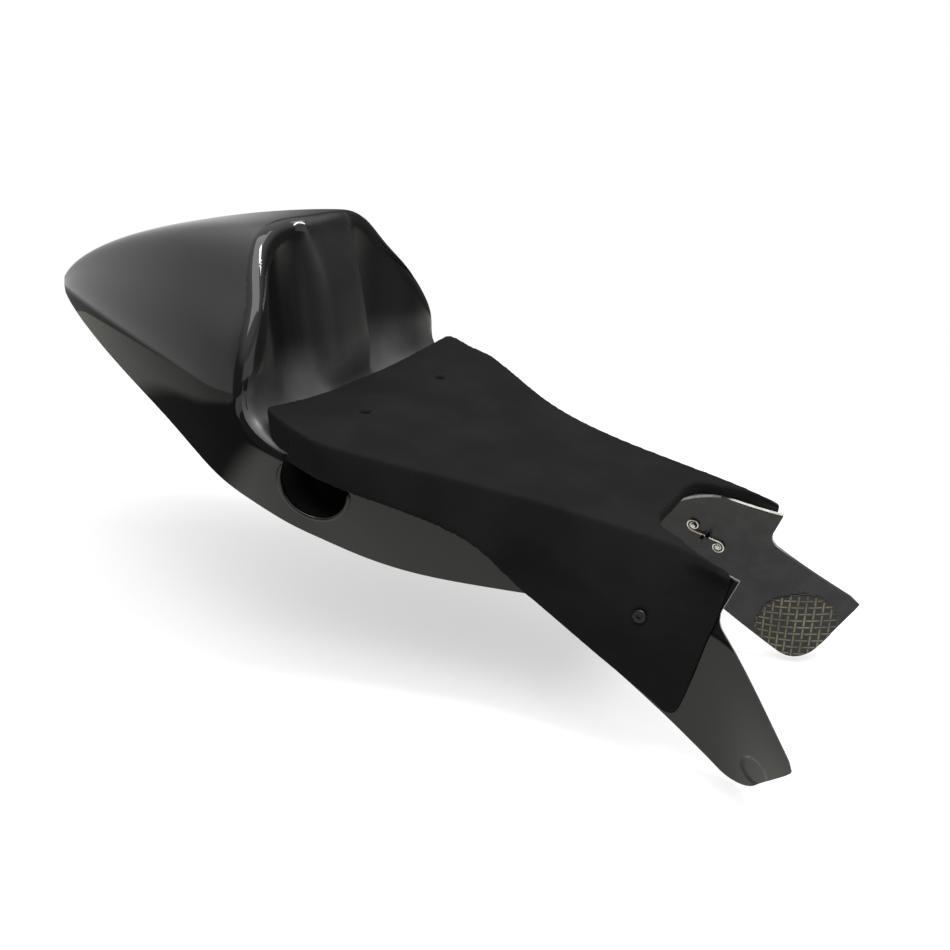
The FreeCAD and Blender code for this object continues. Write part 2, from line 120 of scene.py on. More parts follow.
# Tank notch, seat bolts and scoops
NOTCH_X = 277.0
NOTCH_HALF_WIDTH = 74.0
NOTCH_ROUND = 62.0
PAN_BACK = 9.0
WING_NOTCH_HALF_WIDTH = 58.0
WING_NOTCH_ROUND = 36.0
WING_NOTCH_DROP = 25.0
NOTCH_POINTS = 61
CUTTER_Z = (-140.0, 100.0)
CUTTER_REACH = 500.0
SEAT_BOLT_SPACING = 128.0
SEAT_BOLT_HOLE = 6.6
SCOOP_REAR = (-21.0, -9.0)
SCOOP_LOW = (-1.0, -66.0)
SCOOP_FRONT = (33.0, -29.0)
SCOOP_POINTS = 60
SCOOP_BACK_Y = 104.0
SCOOP_ROUND = 9.0
SCOOP_ROUND_STEPS = 6
SCOOP_MOUTH_DROP = 0.3
SCOOP_FLANGE_DROP = 1.0
SCOOP_LIP = 2.2
LIP_ENDS = 3
LIP_SPACING = 2.5
LIP_SIDES = 14
LIP_TAPER = 3

# Rolled edge between hump and backrest, and along the pan
HUMP_ROLL = 14.0
PAN_ROLL = 5.0
WING_ROLL = 1.0
HUMP_ROLL_END = (-20.0, 30.0)
PAN_ROLL_END = (200.0, 260.0)
ROLL_CUT = 0.2
ROLL_COSINE = 0.9
HULL_MARGIN = 1.0
JOIN_SHARE = 0.6
JOIN_END_X = NOTCH_X - 40.0

# Stud hole in each wing, woven patch and dimple on each leg
STUD_X, STUD_Z = 285.0, -105.0
STUD_HOLE = 8.1
PATCH_X, PATCH_Z = 373.0, -190.0
PATCH_RADIUS = 37.0
PATCH_GLUE = 0.3
PATCH_LIFT = 0.4
PATCH_POINTS = 210
PATCH_FRAY = 1.6
PATCH_MARGIN = 0.4
PATCH_FADE = (0.78 * PATCH_RADIUS, PATCH_RADIUS + 4.0)
TOW = 7.0
DASH_WIDTH = (0.06, 0.14)
DASH_LENGTH = (0.66, 0.84)
TOW_BASE = 0.3
TOW_WEAR = 0.3
FRAY_TURNS = (2.3, 4.1)
WEAR_TURNS = (1.1, 0.9)
WEAR_STARTS = (0.6, 1.1)
DIMPLE_X, DIMPLE_Z = 392.0, -199.0
DIMPLE_RADIUS = 13.0
DIMPLE_DEPTH = 1.3
DIMPLE_SLOPE = 3.4
DIMPLE_MARGIN = 1.0

# Foam pad
PAD_FRONT = [(314.0, -176.8), (343.0, -100.0), (349.0, -64.0)]
PAD_HEEL = (186.0, -98.0)
PAD_FORWARD = (120.0, 190.0)
PAD_REACH = 10.0
REACH_FADE = (0.0, 60.0)
REACH_WAY = (-0.524, -0.85)
PAD_TOE = 11.0
TOE_FADE = (0.0, 80.0)
TOE_DROP = 0.3
FLANK_BELOW_PAN = (-6.0, 8.0)
THIN_EDGE = 0.22
THIN_FADE = (0.0, 46.0)
NOSE_START, NOSE_END = 285.0, 353.0
UNDERSIDE = (0.1, 0.6)
SEATED_END_X = 80.0
SEATED_SLOPE = 0.4
SEATED_GAP = 0.3
SEATED_MOST = 22.0
FOAM_VOXEL = 1.9
FOAM_SOFTENING = 12
FOAM_SOFTNESS = 0.5

# Dust on the backrest, and satin inside its polished rim
DUST_RIB = (26.0, 40.0)
DUST_HOLLOW = (26.0, 72.0)
DUST_THIN, DUST_ON_RIB, DUST_IN_HOLLOW = 0.05, 0.2, 0.95
SATIN_RISE = (0.7, 1.5)

# Lines, samples and reach of the meshes and of the tables of the two surfaces
HULL_LINES = (14, 13)
SEAT_LINES = (9, 16)
DIMPLE_LINES = 27
DIMPLE_SAMPLES = (4000, 2000)
CUT_ROUNDS = 6
CUT_MARGIN = 0.02
HULL_SAMPLES = (1200, 240)
SEAT_SAMPLES = (460, 700)
TABLE_X = (-480.0, 434.0)
TABLE_TOP_Z = 200.0
TABLE_HALF_WIDTH = 200.0
TABLE_STEP = 2.0
FINE_STEP = 1.0
TABLE_DIAGONAL = (-265.0, 395.0)
BEYOND_SLOPE = 50.0

# Studio and camera, in metres
WHITE = (1.0, 1.0, 1.0)
FLOOR_Z = -0.2275
FLOOR_SIZE = 3.4
FLOOR_FADE = (0.75, 1.4)
SHADOW = 0.46
SHEET_WHITE = (0.95, 0.95, 0.95)
SHEET_BOUNCE = (0.45, 0.45, 0.45)
SHEET_TINT = (1.0, 0.99, 0.92)
SHEET_REAR = (-0.46, -0.3)
SHEET_FRONT = (1.3, 0.9)
SHEET_BEHIND = (-0.86, -1.04)
SHEET_GLOW, BEHIND_GLOW, DIM_GLOW = 0.86, 0.3, 0.05
ROOM_TINT = (0.98, 0.98, 0.97)
REAR_WALL_AHEAD = (-0.62, -0.74)
REAR_WALL_UP = (-0.19, -0.13)
CEILING_UP = (0.4, 0.85)
WINDOW_AHEAD = (0.25, 0.45)
WINDOW_LOW = (0.1, 0.2)
WINDOW_TOP = (0.62, 0.5)
WINDOW_ASIDE = (0.1, -0.15)
REAR_WALL_GLOW, WINDOW_GLOW, ROOM_GLOW = 0.56, 0.9, 0.13
KEY_PLACE, KEY_SIZE, KEY_POWER = (0.3, -0.5, 2.6), (2.4, 2.4), 56.0
STRIP_PLACE, STRIP_SIZE, STRIP_POWER = (0.9, 0.1, 1.9), (0.25, 0.8), 18.0
CAMERA_AT = (0.502, -0.730, 0.287)
CAMERA_WAY = (-0.464, 0.801, -0.378)
SENSOR, LENS = 36.0, 36.0
CLIP_END = 100.0


# Smooth surfaces
def smooth_step(value, start, end):
    """Smooth rise from 0 at start to 1 at end."""
    t = np.clip((np.asarray(value, float) - start) / (end - start), 0.0, 1.0)
    return t * t * (3.0 - 2.0 * t)


def fade(value, start, end):
    """Smooth fall from 1 at start to 0 at end."""
    return 1.0 - smooth_step(value, start, end)


def basis(count, t):
    """Weights of the guide points of a clamped cubic curve at parameters t, from 0 to count - 3."""
    knots = np.concatenate([[0.0] * 3, np.arange(count - 2, dtype=float), [count - 3.0] * 3])
    t = np.clip(np.asarray(t, float), 0.0, count - 3.0 - 1e-9)
    level = ((t[:, None] >= knots[None, :-1]) & (t[:, None] < knots[None, 1:])).astype(float)
    for degree in (1, 2, 3):
        width = len(knots) - 1 - degree
        first, last = knots[:width], knots[degree + 1:degree + 1 + width]
        rise = knots[degree:degree + width] - first
        fall = last - knots[1:1 + width]
        rise_weight = np.where(rise > 0, (t[:, None] - first) / np.where(rise > 0, rise, 1), 0.0)
        fall_weight = np.where(fall > 0, (last - t[:, None]) / np.where(fall > 0, fall, 1), 0.0)
        level = rise_weight * level[:, :width] + fall_weight * level[:, 1:width + 1]
    return level


def pairs(u, v):
    """Every u with every v."""
    return np.stack(np.meshgrid(u, v, indexing="ij"), -1).reshape(-1, 2)


class Surface:
    """Smooth surface steered by a net of guide points."""

    def __init__(self, net):
        self.net = np.array(net, float)
        self.rows, self.columns = self.net.shape[:2]
        self.ends = (self.rows - 3.0, self.columns - 3.0)

    def points(self, uv):
        rows = basis(self.rows, uv[:, 0])
        columns = basis(self.columns, uv[:, 1])
        return np.einsum("ni,nj,ijk->nk", rows, columns, self.net, optimize=True)

    def normals(self, uv):
        step = 1e-3
        ways = []
        for k in (0, 1):
            low, high = uv.copy(), uv.copy()
            low[:, k] = np.maximum(uv[:, k] - step, 0)
            high[:, k] = np.minimum(uv[:, k] + step, self.ends[k])
            ways.append(self.points(high) - self.points(low))
        normal = np.cross(*ways)
        return normal / np.maximum(np.linalg.norm(normal, axis=1, keepdims=True), 1e-12)

    def grid(self, per_row, per_column, more_u=(), more_v=()):
        """Parameters and triangles of an even grid, with more lines where they are asked for."""
        u = np.linspace(0, self.ends[0], (self.rows - 3) * per_row + 1)
        v = np.linspace(0, self.ends[1], (self.columns - 3) * per_column + 1)
        u, v = np.unique(np.concatenate([u, more_u])), np.unique(np.concatenate([v, more_v]))
        index = np.arange(len(u) * len(v)).reshape(len(u), len(v))
        a, b, c, d = index[:-1, :-1], index[1:, :-1], index[1:, 1:], index[:-1, 1:]
        first = np.stack([a, b, c], -1).reshape(-1, 3)
        second = np.stack([a, c, d], -1).reshape(-1, 3)
        return pairs(u, v), np.concatenate([first, second])


def tail_lower_z(s):
    return FACE_LOWER_Z + (TAIL_LOWER_Z - FACE_LOWER_Z) * s ** TAIL_LOWER_POWER


def shrink(s, powers):
    """Share left of a size at a share s of the tail's length."""
    return (1.0 - s ** powers[0]) ** powers[1]


def tail_guide(s):
    width = HUMP_HALF_WIDTH * shrink(s, TAIL_WIDTH_POWERS)
    crest = TAIL_TIP_Z + (HUMP_HEIGHT - TAIL_TIP_Z) * shrink(s, TAIL_CREST_POWERS)
    low = tail_lower_z(s)
    arch = [(a * width, low + b * (crest - low)) for a, b in HUMP_GUIDE]
    return arch + [(TAIL_SKIRT_SHARE * width, SKIRT_Z)]


def side_guide(upper, waist, lower):
    shoulder_out, shoulder_up = HUMP_GUIDE[SHOULDER]
    arch = [(0.0, HUMP_HEIGHT)]
    for a, b in HUMP_GUIDE[1:SHOULDER]:
        share = (1.0 - b) / (1.0 - shoulder_up)
        arch.append((a / shoulder_out * upper[0], HUMP_HEIGHT - share * (HUMP_HEIGHT - upper[1])))
    lean = (lower[0] - waist[0]) / (waist[1] - lower[1])
    reach = min(max(lean, SKIRT_LEAN[0]), SKIRT_LEAN[1]) * (lower[1] - SKIRT_Z)
    return arch + [upper, waist, lower, (lower[0] + reach, SKIRT_Z)]


def hull_surface():
    rows = [(FACE_X - TAIL_LENGTH * s, tail_guide(s)) for s in TAIL_SHARES]
    rows += [(x, side_guide(upper, waist, lower)) for x, upper, waist, lower in SIDE_GUIDES]
    net = []
    for x, half in rows:
        net.append([(x, -y, z) for y, z in half[:0:-1]] + [(x, y, z) for y, z in half])
    return Surface(net)


def seat_surface():
    net = []
    for y in [-v for v in SEAT_SPOTS[:0:-1]] + SEAT_SPOTS:
        across = abs(y)
        pocket = smooth_step(across, *POCKET_INNER) - smooth_step(across, *POCKET_OUTER)
        row = []
        for x, z in SEAT_GUIDE:
            dish = DISH_RISE * (across / DISH_HALF_WIDTH) ** 2 * fade(x, *DISH_ALONG)
            fall = EDGE_FALL * smooth_step(across, *FALL_ACROSS) * smooth_step(x, *FALL_BEGIN)
            fall = fall * fade(x, *FALL_END)
            deep = POCKET_DEPTH * pocket * smooth_step(z, *POCKET_LOW) * fade(z, *POCKET_TOP)
            rib = RIB_RISE * fade(across, *RIB_SIDE) * smooth_step(z, *RIB_LOW) * fade(z, *RIB_TOP)
            wrap = SIDE_WRAP * smooth_step(across, *WRAP_ACROSS) * smooth_step(z, *WRAP_LOW)
            wrap = wrap * fade(z, *WRAP_TOP)
            row.append((x - float(deep) + float(rib) + float(wrap), y, z + float(dish) - float(fall)))
        net.append(row)
    return Surface(net)


class Table:
    """Values on a regular grid, looked up between its points."""

    def __init__(self, a, b, values):
        self.a, self.b, self.values = a, b, values

    def at(self, a, b):
        i = np.clip((a - self.a[0]) / (self.a[1] - self.a[0]), 0, len(self.a) - 1.001)
        j = np.clip((b - self.b[0]) / (self.b[1] - self.b[0]), 0, len(self.b) - 1.001)
        i0, j0 = i.astype(int), j.astype(int)
        s, t = i - i0, j - j0
        v = self.values
        low = v[i0, j0] * (1 - t) + v[i0, j0 + 1] * t
        high = v[i0 + 1, j0] * (1 - t) + v[i0 + 1, j0 + 1] * t
        return low * (1 - s) + high * s


def hull_table(hull):
    """Half-width of the hull over the side view, and its height over the plan."""
    xs = np.arange(*TABLE_X, TABLE_STEP)
    ys = np.arange(0.0, TABLE_HALF_WIDTH, FINE_STEP)
    zs = np.arange(SKIRT_Z, TABLE_TOP_Z, TABLE_STEP)
    u = np.linspace(0, hull.ends[0], HULL_SAMPLES[0])
    v = np.linspace(hull.ends[1] / 2.0, hull.ends[1], HULL_SAMPLES[1])
    points = hull.points(pairs(u, v)).reshape(len(u), len(v), 3)
    at_x = points[:, 0, 0]
    width = np.zeros((len(xs), len(zs)))
    top = np.zeros((len(xs), len(ys)))
    for i, x in enumerate(xs):
        k = int(np.clip(np.searchsorted(at_x, x), 1, len(u) - 1))
        t = np.clip((x - at_x[k - 1]) / max(at_x[k] - at_x[k - 1], 1e-9), 0, 1)
        section = points[k - 1] * (1 - t) + points[k] * t
        crest = section[0, 2]
        width[i] = np.interp(zs, section[::-1, 2], section[::-1, 1])
        width[i] = np.where(zs > crest, crest - zs, width[i])
        widest = int(np.argmax(section[:, 1]))
        top[i] = np.interp(ys, section[:widest + 1, 1], section[:widest + 1, 2])
        top[i] -= BEYOND_SLOPE * np.maximum(ys - section[widest, 1], 0.0)
    return Table(xs, zs, width), Table(xs, ys, top)


def seat_table(seat):
    """Height of the seat surface along the upward and forward diagonal."""
    ys = np.arange(FINE_STEP - TABLE_HALF_WIDTH, TABLE_HALF_WIDTH, FINE_STEP)
    ts = np.arange(*TABLE_DIAGONAL, FINE_STEP)
    u = np.linspace(0, seat.ends[0], SEAT_SAMPLES[0])
    v = np.linspace(0, seat.ends[1], SEAT_SAMPLES[1])
    points = seat.points(pairs(u, v)).reshape(len(u), len(v), 3)
    along = (points[:, :, 0] - points[:, :, 2]) * DIAGONAL
    height = (points[:, :, 0] + points[:, :, 2]) * DIAGONAL
    rows = np.array([np.interp(ts, a, h) for a, h in zip(along, height)])
    values = np.array([np.interp(ys, points[:, 0, 1], rows[:, j]) for j in range(len(ts))]).T
    return Table(ys, ts, values)


# Trim lines as signed distances, positive where material stays
def guided_line(points, count):
    points = np.array(points, float)
    return basis(len(points), np.linspace(0, len(points) - 3.0, count)) @ points


def rounded_line(points, radii):
    """Polyline with rounded corners; radius 0 leaves a corner sharp."""
    points = [np.array(p, float) for p in points]
    line = [points[0]]
    for i in range(1, len(points) - 1):
        corner, radius = points[i], radii[i]
        if radius == 0.0:
            line.append(corner)
            continue
        back = (points[i - 1] - corner) / np.linalg.norm(points[i - 1] - corner)
        ahead = (points[i + 1] - corner) / np.linalg.norm(points[i + 1] - corner)
        half = math.acos(np.clip(back @ ahead, -1, 1)) / 2.0
        middle = (back + ahead) / np.linalg.norm(back + ahead)
        centre = corner + middle * radius / math.sin(half)
        first = corner + back * radius / math.tan(half) - centre
        last = corner + ahead * radius / math.tan(half) - centre
        for k in range(CORNER_STEPS + 1):
            share = k / CORNER_STEPS
            way = first * (1 - share) + last * share
            line.append(centre + way / np.linalg.norm(way) * radius)
    line.append(points[-1])
    return np.array(line)


def inside(outline, p):
    """Signed distance to a closed outline, positive inside."""
    best = np.full(len(p), np.inf)
    odd = np.zeros(len(p), bool)
    for s, e in zip(outline, np.roll(outline, -1, axis=0)):
        d = e - s
        t = np.clip(((p - s) @ d) / max(d @ d, 1e-12), 0, 1)
        best = np.minimum(best, np.linalg.norm(p - s - t[:, None] * d, axis=1))
        if s[1] != e[1]:
            cross = (s[1] > p[:, 1]) != (e[1] > p[:, 1])
            at = s[0] + (p[:, 1] - s[1]) / (e[1] - s[1]) * d[0]
            odd ^= cross & (p[:, 0] < at)
    return np.where(odd, best, -best)


def shell_outline():
    tail = [(FACE_X - TAIL_LENGTH * s, tail_lower_z(s)) for s in OUTLINE_SHARES]
    lower = guided_line(tail + BELLY_GUIDE + [BELLY_END], BELLY_POINTS)
    corners = [BELLY_END, LEG_REAR, LEG_FRONT, LEG_CROOK, WING_CORNER, (WING_CORNER[0], FAR), (-FAR, FAR),
               (-FAR, TAIL_LOWER_Z)]
    radii = [0.0, LEG_REAR_RADIUS, LEG_FRONT_RADIUS, CROOK_RADIUS, WING_CORNER_RADIUS, 0.0, 0.0, 0.0]
    return np.concatenate([lower[:-1], rounded_line(corners, radii)])


def notch_outline(root, depth, half):
    """Half ellipse open to the front, seen from above."""
    turn = np.linspace(0, math.pi, NOTCH_POINTS)
    bow = np.stack([root + depth * (1 - np.sin(turn)), half * np.cos(turn)], -1)
    return np.concatenate([[(FAR, half)], bow, [(FAR, -half)]])


def scoop_outline(grow=0.0):
    """D shape of the scoop: an arc through three points, closed by its chord."""
    a = np.array(SCOOP_REAR) + [-grow, grow]
    m = np.array(SCOOP_LOW) + [0.0, -grow]
    b = np.array(SCOOP_FRONT) + [grow, grow]
    rows = np.array([2 * (m - a), 2 * (b - a)])
    right = np.array([m @ m - a @ a, b @ b - a @ a])
    centre = np.linalg.solve(rows, right)
    radius = np.linalg.norm(a - centre)
    start = math.atan2(*(a - centre)[::-1])
    end = math.atan2(*(b - centre)[::-1])
    while end < start:
        end += 2 * math.pi
    angles = np.linspace(start, end, SCOOP_POINTS)
    return centre + radius * np.stack([np.cos(angles), np.sin(angles)], -1)


def below_seat(p):
    return seat_height.at(p[:, 1], (p[:, 0] - p[:, 2]) * DIAGONAL) - (p[:, 0] + p[:, 2]) * DIAGONAL


def in_hull(p):
    return hull_width.at(p[:, 0], p[:, 2]) - np.abs(p[:, 1])


def in_outline(p):
    return inside(outline, p[:, [0, 2]])


def out_of_notch(p):
    return -inside(pan_notch, p[:, [0, 1]])


def out_of_wing_notch(p):
    return np.maximum(-inside(wing_notch, p[:, [0, 1]]), WING_CORNER[1] - WING_NOTCH_DROP - p[:, 2])


def out_of_scoop(p):
    return -inside(scoop, p[:, [0, 2]])


def out_of_bolt_holes(p):
    return np.hypot(p[:, 0], np.abs(p[:, 1]) - SEAT_BOLT_SPACING / 2) - SEAT_BOLT_HOLE / 2


def out_of_stud_hole(p):
    return np.hypot(p[:, 0] - STUD_X, p[:, 2] - STUD_Z) - STUD_HOLE / 2


def roll_radius(p):
    """Radius of the rolled edge: full round the hump, small along the pan, least at the wings."""
    hump = (HUMP_ROLL - PAN_ROLL) * fade(p[:, 0], *HUMP_ROLL_END)
    return WING_ROLL + (PAN_ROLL - WING_ROLL) * fade(p[:, 0], *PAN_ROLL_END) + hump


def off_seat(p):
    """Depth below the seat surface and the way out through it."""
    reach = 1.5
    slope = [below_seat(p + step) - below_seat(p - step) for step in np.eye(3) * reach]
    way = np.stack(slope, -1) / (2 * reach)
    size = np.linalg.norm(way, axis=1)
    return below_seat(p) / size, -way / size[:, None]


def off_hull(p):
    """Depth inside the hull and the way out through it."""
    least = 1e-3
    across = np.maximum(in_hull(p), least)
    up = np.maximum(hull_top.at(p[:, 0], np.abs(p[:, 1])) - p[:, 2], least)
    size = np.hypot(1 / across, 1 / up)
    way = np.stack([np.zeros(len(p)), np.sign(p[:, 1]) / across / size, 1 / up / size], -1)
    return 1 / size, way


def hull_edge(p):
    return off_seat(p)[0] - ROLL_CUT * roll_radius(p)


def seat_edge(p):
    return np.where(in_hull(p) > 0, off_hull(p)[0] - ROLL_CUT * roll_radius(p), in_hull(p) - HULL_MARGIN)


def clip(surface, uv, triangles, rule):
    """Cut a mesh on the surface along the zero line of rule, keeping the positive side."""
    values = rule(surface.points(uv))
    values = np.where(np.abs(values) < TINY, TINY, values)
    keep = values > 0
    count = keep[triangles].sum(1)
    whole = triangles[count == 3]
    mixed = triangles[(count > 0) & (count < 3)]
    edges = np.concatenate([mixed[:, [0, 1]], mixed[:, [1, 2]], mixed[:, [2, 0]]])
    edges = np.sort(edges[keep[edges[:, 0]] != keep[edges[:, 1]]], axis=1)
    edges = np.unique(edges, axis=0)
    if not len(edges):
        return uv, whole
    low, high = uv[edges[:, 0]].copy(), uv[edges[:, 1]].copy()
    low_value, high_value = values[edges[:, 0]].copy(), values[edges[:, 1]].copy()
    for _ in range(CUT_ROUNDS):
        share = (low_value / (low_value - high_value))[:, None]
        middle = low + (high - low) * np.clip(share, CUT_MARGIN, 1 - CUT_MARGIN)
        value = rule(surface.points(middle))
        same = (value > 0) == (low_value > 0)
        low[same], low_value[same] = middle[same], value[same]
        high[~same], high_value[~same] = middle[~same], value[~same]
    share = (low_value / (low_value - high_value))[:, None]
    cut = low + (high - low) * np.clip(share, 0, 1)
    number = {(int(a), int(b)): len(uv) + i for i, (a, b) in enumerate(edges)}
    added = []
    for triangle in mixed:
        ring = []
        for k in range(3):
            a, b = int(triangle[k]), int(triangle[(k + 1) % 3])
            if keep[a]:
                ring.append(a)
            if keep[a] != keep[b]:
                ring.append(number[(min(a, b), max(a, b))])
        for k in range(1, len(ring) - 1):
            added.append((ring[0], ring[k], ring[k + 1]))
    return np.concatenate([uv, cut]), np.concatenate([whole, np.array(added, int)])


# Meshes
def new_piece(name, points, faces, *materials):
    """Object at the origin with a mesh of points in millimetres."""
    mesh = bpy.data.meshes.new(name)
    mesh.from_pydata((np.asarray(points) * MM).tolist(), [], faces)
    for material in materials:
        mesh.materials.append(material)
    item = bpy.data.objects.new(name, mesh)
    bpy.context.scene.collection.objects.link(item)
    return item


def smooth_faces(mesh):
    mesh.polygons.foreach_set("use_smooth", [True] * len(mesh.polygons))
    mesh.update()


def vertex_values(mesh, name):
    flat = np.zeros(len(mesh.vertices) * 3)
    mesh.vertices.foreach_get(name, flat)
    return flat.reshape(-1, 3)


def add_values(mesh, name, values):
    """Attribute with one value for each vertex."""
    attribute = mesh.attributes.new(name, "FLOAT", "POINT")
    attribute.data.foreach_set("value", values.ravel().astype(np.float32))


def settle(item):
    """Plain mesh in place of the item's modifiers."""
    shown = item.evaluated_get(bpy.context.evaluated_depsgraph_get())
    mesh = bpy.data.meshes.new_from_object(shown)
    item.modifiers.clear()
    item.data = mesh
    return mesh


def rolled(points, normal, depth, way):
    """Points near the edge to a neighbouring face moved onto a round edge, with their normals."""
    radius = roll_radius(points)
    cosine = np.clip((normal * way).sum(1), -ROLL_COSINE, ROLL_COSINE)
    turn = np.clip(np.arccos(cosine) - np.arccos(np.clip(1 - depth / radius, -1, 1)), 0, None)
    turn = np.where(depth < radius * (1 - cosine), turn, 0.0)
    drop = radius * (1 - np.cos(turn)) / (1 - cosine ** 2)
    side = (way - cosine[:, None] * normal) / np.sqrt(1 - cosine ** 2)[:, None]
    moved = points - drop[:, None] * (normal - cosine[:, None] * way)
    return moved, normal * np.cos(turn)[:, None] + side * np.sin(turn)[:, None]


def dented(points, normal):
    """Points and normals of the legs pressed in at the dimples."""
    ahead, up = points[:, 0] - DIMPLE_X, points[:, 2] - DIMPLE_Z
    far = np.maximum(np.hypot(ahead, up), TINY)
    start = DIMPLE_RADIUS - DIMPLE_SLOPE
    share = np.clip((far - start) / DIMPLE_SLOPE, 0, 1)
    fall = DIMPLE_DEPTH * 6 * share * (1 - share) / DIMPLE_SLOPE
    tilt = np.stack([-fall * ahead / far, np.zeros(len(far)), -fall * up / far], -1)
    tilt -= normal * (tilt * normal).sum(1, keepdims=True)
    depth = DIMPLE_DEPTH * fade(far, start, DIMPLE_RADIUS)
    turned = normal + tilt
    return points - normal * depth[:, None], turned / np.linalg.norm(turned, axis=1, keepdims=True)


def near_dimples(count):
    """Parameters of closer grid lines round the two dimples."""
    most = DIMPLE_RADIUS + DIMPLE_MARGIN
    reach = np.linspace(-most, most, count)
    last = hull.ends[1]
    u = np.linspace(0, hull.ends[0], DIMPLE_SAMPLES[0])
    at_x = hull.points(np.stack([u, np.full(len(u), last)], -1))[:, 0]
    more_u = np.interp(DIMPLE_X + reach, at_x, u)
    v = np.linspace(last / 2, last, DIMPLE_SAMPLES[1])
    at_z = hull.points(np.stack([np.full(len(v), np.interp(DIMPLE_X, at_x, u)), v], -1))[:, 2]
    more_v = np.interp(DIMPLE_Z + reach, at_z[::-1], v[::-1])
    return more_u, np.concatenate([more_v, last - more_v])


def skin(surface, uv, triangles, away, name, materials, flat_axis, neighbour):
    """Thin wall from a cut mesh: outer face, inner face and the trimmed edge between them."""
    used = np.unique(triangles)
    renumber = np.full(len(uv), -1)
    renumber[used] = np.arange(len(used))
    triangles = renumber[triangles]
    uv = uv[used]
    outer = surface.points(uv)
    normal = surface.normals(uv) * away
    inward = normal.copy()
    inward[:, flat_axis] = 0
    inward /= np.maximum(np.linalg.norm(inward, axis=1, keepdims=True), 1e-9)
    depth, way = neighbour(outer)
    joined = (depth < JOIN_SHARE * roll_radius(outer)) & (outer[:, 0] < JOIN_END_X)
    outer, normal = rolled(outer, normal, depth, way)
    inner = outer - inward * SKIN
    outer, normal = dented(outer, normal)
    sides = np.concatenate([triangles[:, [0, 1]], triangles[:, [1, 2]], triangles[:, [2, 0]]])
    _, index, counts = np.unique(np.sort(sides, axis=1), axis=0, return_index=True, return_counts=True)
    border = sides[index[counts == 1]]
    border = border[~joined[border].all(1)]
    a, b = border.T
    points = np.concatenate([outer, inner, outer[a], outer[b], inner[b], inner[a]])
    n, k = len(outer), len(border)
    strip = 2 * n + np.arange(k)[:, None] + k * np.array([0, 3, 2, 1])
    face = triangles if away > 0 else triangles[:, ::-1]
    back = face[:, ::-1] + n
    if away < 0:
        strip = strip[:, ::-1]
    item = new_piece(name, points, face.tolist() + back.tolist() + strip.tolist(), *materials)
    mesh = item.data
    kind = np.repeat(np.arange(3, dtype=np.int32), [len(face), len(back), len(strip)])
    mesh.polygons.foreach_set("material_index", kind)
    mesh.polygons.foreach_set("use_smooth", kind < 2)
    mesh.update()
    custom = np.zeros((len(points), 3))
    custom[:n] = normal
    custom[n:2 * n] = -normal
    mesh.normals_split_custom_set_from_vertices(custom.tolist())
    return item


def resample(line, spacing):
    lengths = np.concatenate([[0], np.cumsum(np.linalg.norm(np.diff(line, axis=0), axis=1))])
    count = max(int(lengths[-1] / spacing), 8)
    at = np.linspace(0, lengths[-1], count)
    return np.stack([np.interp(at, lengths, line[:, k]) for k in range(3)], -1)


def tube(line, radius, name, material, sides):
    """Round rod along a line, tapered off at both ends."""
    count = len(line)
    forward = np.gradient(line, axis=0)
    forward /= np.linalg.norm(forward, axis=1, keepdims=True)
    side = np.cross(forward[0], [1, 0, 0])
    side /= np.linalg.norm(side)
    points = []
    for i in range(count):
        side = side - forward[i] * (side @ forward[i])
        side /= np.linalg.norm(side)
        other = np.cross(forward[i], side)
        end = min(i, count - 1 - i) / LIP_TAPER
        r = radius * math.sqrt(max(1 - (1 - min(end, 1.0)) ** 2, 0.02))
        for k in range(sides):
            a = 2 * math.pi * k / sides
            points.append(line[i] + r * (math.cos(a) * side + math.sin(a) * other))
    faces = []
    for i in range(count - 1):
        for k in range(sides):
            a, b = i * sides + k, i * sides + (k + 1) % sides
            faces.append((a, a + sides, b + sides, b))
    faces.append(tuple(range(sides)))
    faces.append(tuple(range((count - 1) * sides, count * sides))[::-1])
    item = new_piece(name, points, faces, material)
    smooth_faces(item.data)
    return item


# Materials
class Socket:
    """Shader value that takes ordinary arithmetic."""

    def __init__(self, tree, output):
        self.tree, self.output = tree, output

    def maths(self, operation, other):
        return self.tree.node("ShaderNodeMath", {"operation": operation}, {0: self, 1: other})

    def __add__(self, other):
        return self.maths("ADD", other)

    def __mul__(self, other):
        return self.maths("MULTIPLY", other)

    __radd__ = __add__
    __rmul__ = __mul__

    def step(self, start, end):
        """Smooth rise from 0 at start to 1 at end."""
        sockets = {"Value": self, "From Min": start, "From Max": end}
        return self.tree.node("ShaderNodeMapRange", {"interpolation_type": "SMOOTHSTEP"}, sockets, "Result")


